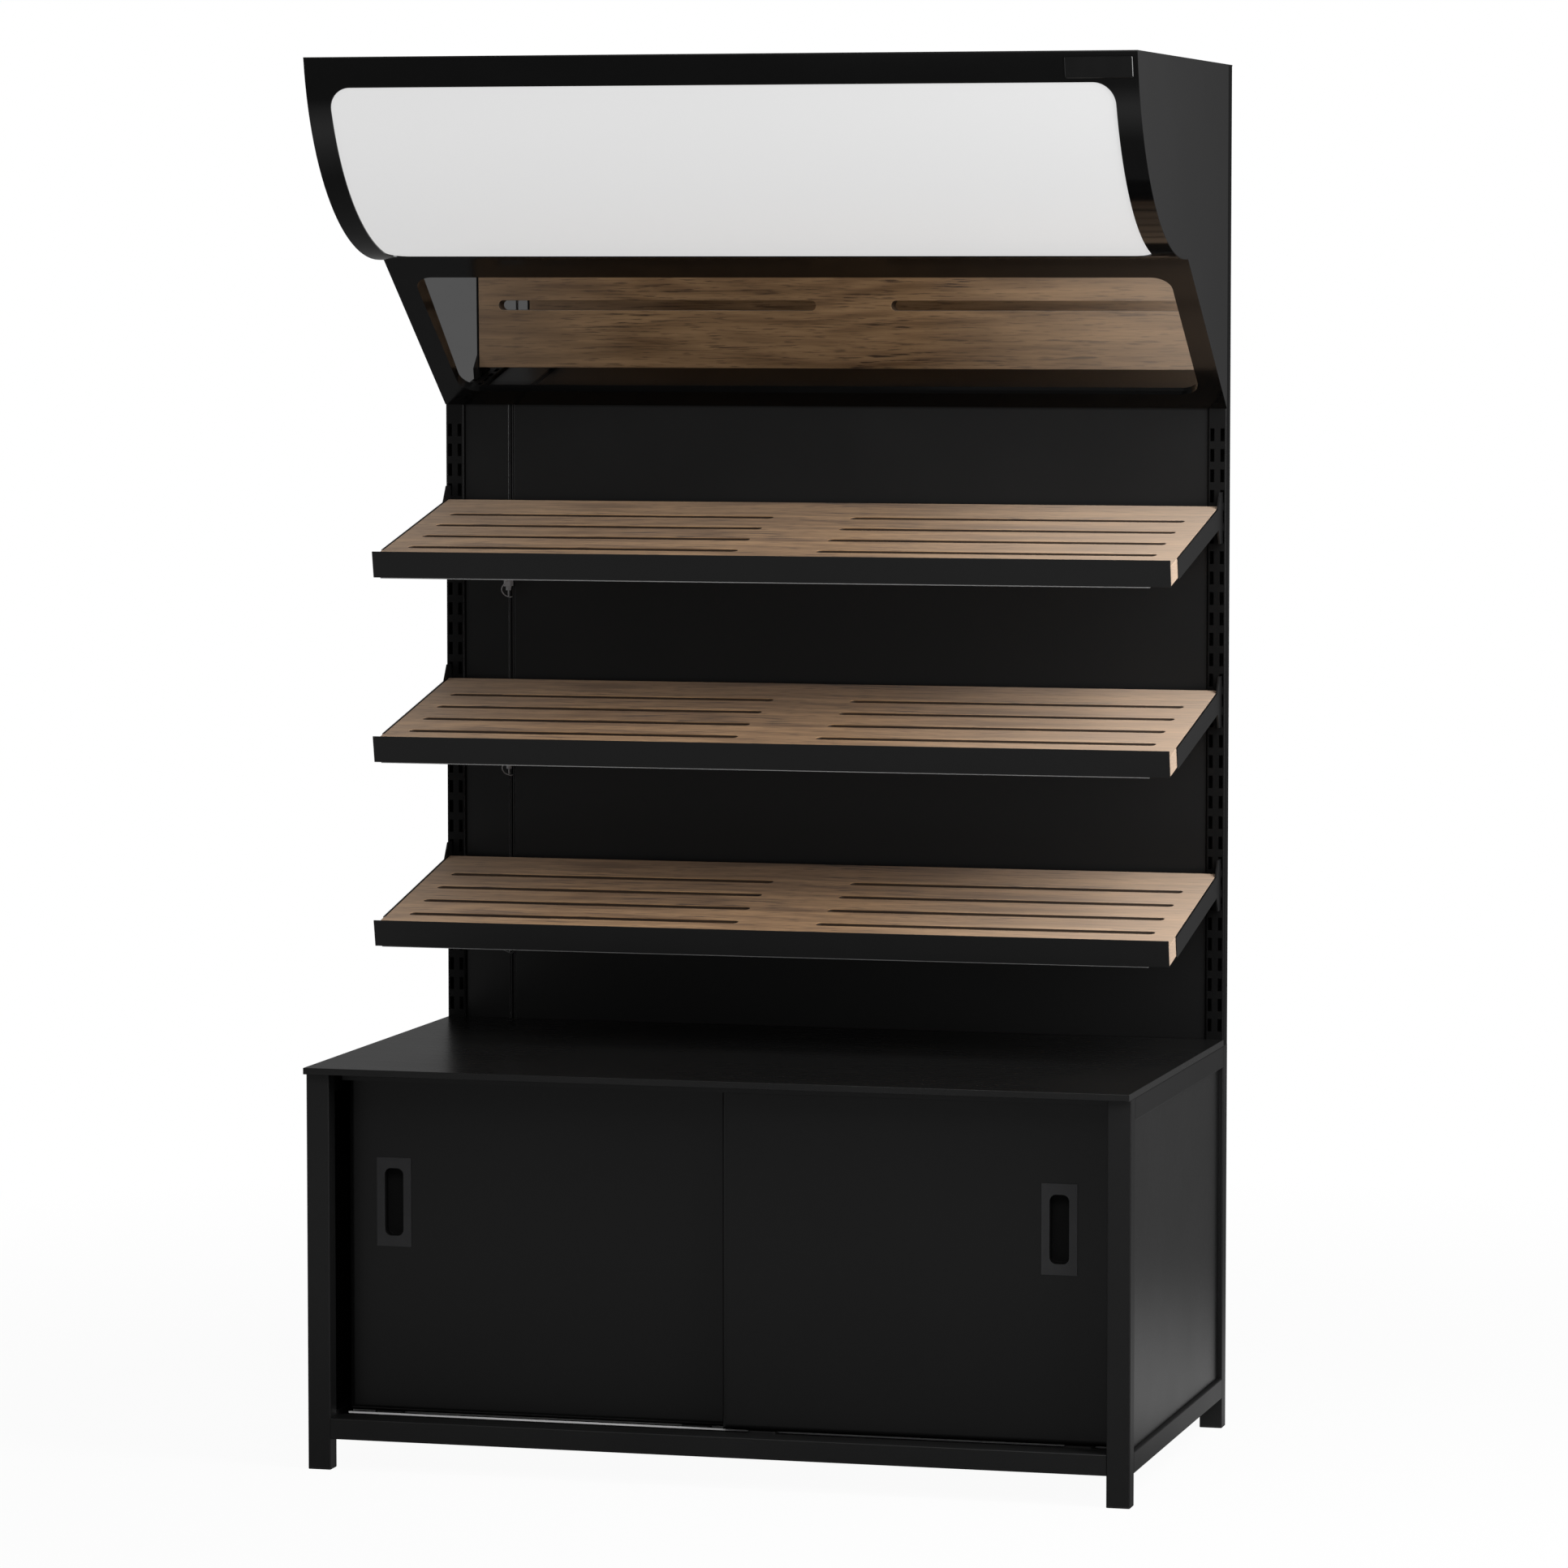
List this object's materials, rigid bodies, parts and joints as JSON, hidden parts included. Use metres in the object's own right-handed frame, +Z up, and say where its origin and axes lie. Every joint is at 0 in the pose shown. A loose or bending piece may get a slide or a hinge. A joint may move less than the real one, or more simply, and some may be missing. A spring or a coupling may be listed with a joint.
{
  "type": "bread display rack",
  "caption": "Free-standing rack for bread: sliding-door cabinet, slotted uprights, tilted slatted oak shelves, light sign canopy with a slanted mirror.",
  "frame": {"origin": "on the floor under the middle of the whole rack", "axes": "+X to the right seen from the front, +Y to the back, +Z up"},
  "size_m": [1.28, 0.75, 2.144],
  "materials": {
    "frame_paint": "satin black powder coat",
    "door_paint": "satin black powder coat",
    "panel_paint": "satin black powder coat",
    "canopy_satin": "satin anthracite powder coat",
    "canopy_gloss": "gloss black",
    "strip_paint": "satin black",
    "oak": "light oak, matt oiled",
    "pull_plastic": "dark grey moulded plastic",
    "black_plastic": "black moulded plastic",
    "rail_plastic": "black extrusion",
    "badge_plastic": "gloss black, bare",
    "lead_plastic": "grey plastic",
    "track_metal": "mill finish",
    "light_housing": "satin",
    "supply_metal": "satin",
    "worktop_laminate": "matt black compact laminate",
    "opal": "satin opal acrylic",
    "mirror_glass": "silvered glass"
  },
  "bodies": {
    "rack": {"back_panel": "panel_paint", "back_panel_narrow": "panel_paint", "badge_plate": "badge_plastic", "cabinet_back": "frame_paint", "cabinet_floor": "frame_paint", "canopy_top": "canopy_satin", "cheek_left": "canopy_satin", "cheek_right": "canopy_satin", "cord_gland": "black_plastic", "leg_caps": "black_plastic", "leg_front_left": "frame_paint", "leg_front_right": "frame_paint", "leg_rear_left": "frame_paint", "leg_rear_right": "frame_paint", "mirror": "mirror_glass", "mirror_frame": "canopy_gloss", "power_rail": "rail_plastic", "power_supply": "supply_metal", "rail_front_bottom": "frame_paint", "rail_left_bottom": "frame_paint", "rail_left_top": "frame_paint", "rail_rear_bottom": "frame_paint", "rail_rear_top": "frame_paint", "rail_right_bottom": "frame_paint", "rail_right_top": "frame_paint", "side_panel_left": "frame_paint", "side_panel_right": "frame_paint", "sign_frame": "canopy_gloss", "sign_lights": "light_housing", "sign_panel": "opal", "track_bottom": "track_metal", "track_top": "track_metal", "upright_left": "frame_paint", "upright_right": "frame_paint", "worktop": "worktop_laminate"},
    "left_door": {"door_left": "door_paint", "pull_left": "pull_plastic", "glides_left": "black_plastic"},
    "right_door": {"door_right": "door_paint", "pull_right": "pull_plastic", "glides_right": "black_plastic"},
    "top_shelf": {"shelf_board_1": "oak", "shelf_strip_1": "strip_paint", "bracket_left_1": "frame_paint", "bracket_right_1": "frame_paint", "light_bar_1": "light_housing", "light_lead_1": "lead_plastic"},
    "middle_shelf": {"shelf_board_2": "oak", "shelf_strip_2": "strip_paint", "bracket_left_2": "frame_paint", "bracket_right_2": "frame_paint", "light_bar_2": "light_housing", "light_lead_2": "lead_plastic"},
    "bottom_shelf": {"shelf_board_3": "oak", "shelf_strip_3": "strip_paint", "bracket_left_3": "frame_paint", "bracket_right_3": "frame_paint", "light_bar_3": "light_housing", "light_lead_3": "lead_plastic"}
  },
  "joints": [
    {"name": "left_door_slide", "type": "slide", "parent": "rack", "child": "left_door", "axis": [1, 0, 0], "range_m": [0, 0.598]},
    {"name": "right_door_slide", "type": "slide", "parent": "rack", "child": "right_door", "axis": [1, 0, 0], "range_m": [-0.598, 0]},
    {"name": "top_shelf_lift", "type": "slide", "parent": "rack", "child": "top_shelf", "axis": [0, 0, 1], "range_m": [0, 0.01]},
    {"name": "middle_shelf_lift", "type": "slide", "parent": "rack", "child": "middle_shelf", "axis": [0, 0, 1], "range_m": [0, 0.01]},
    {"name": "bottom_shelf_lift", "type": "slide", "parent": "rack", "child": "bottom_shelf", "axis": [0, 0, 1], "range_m": [0, 0.01]}
  ]
}
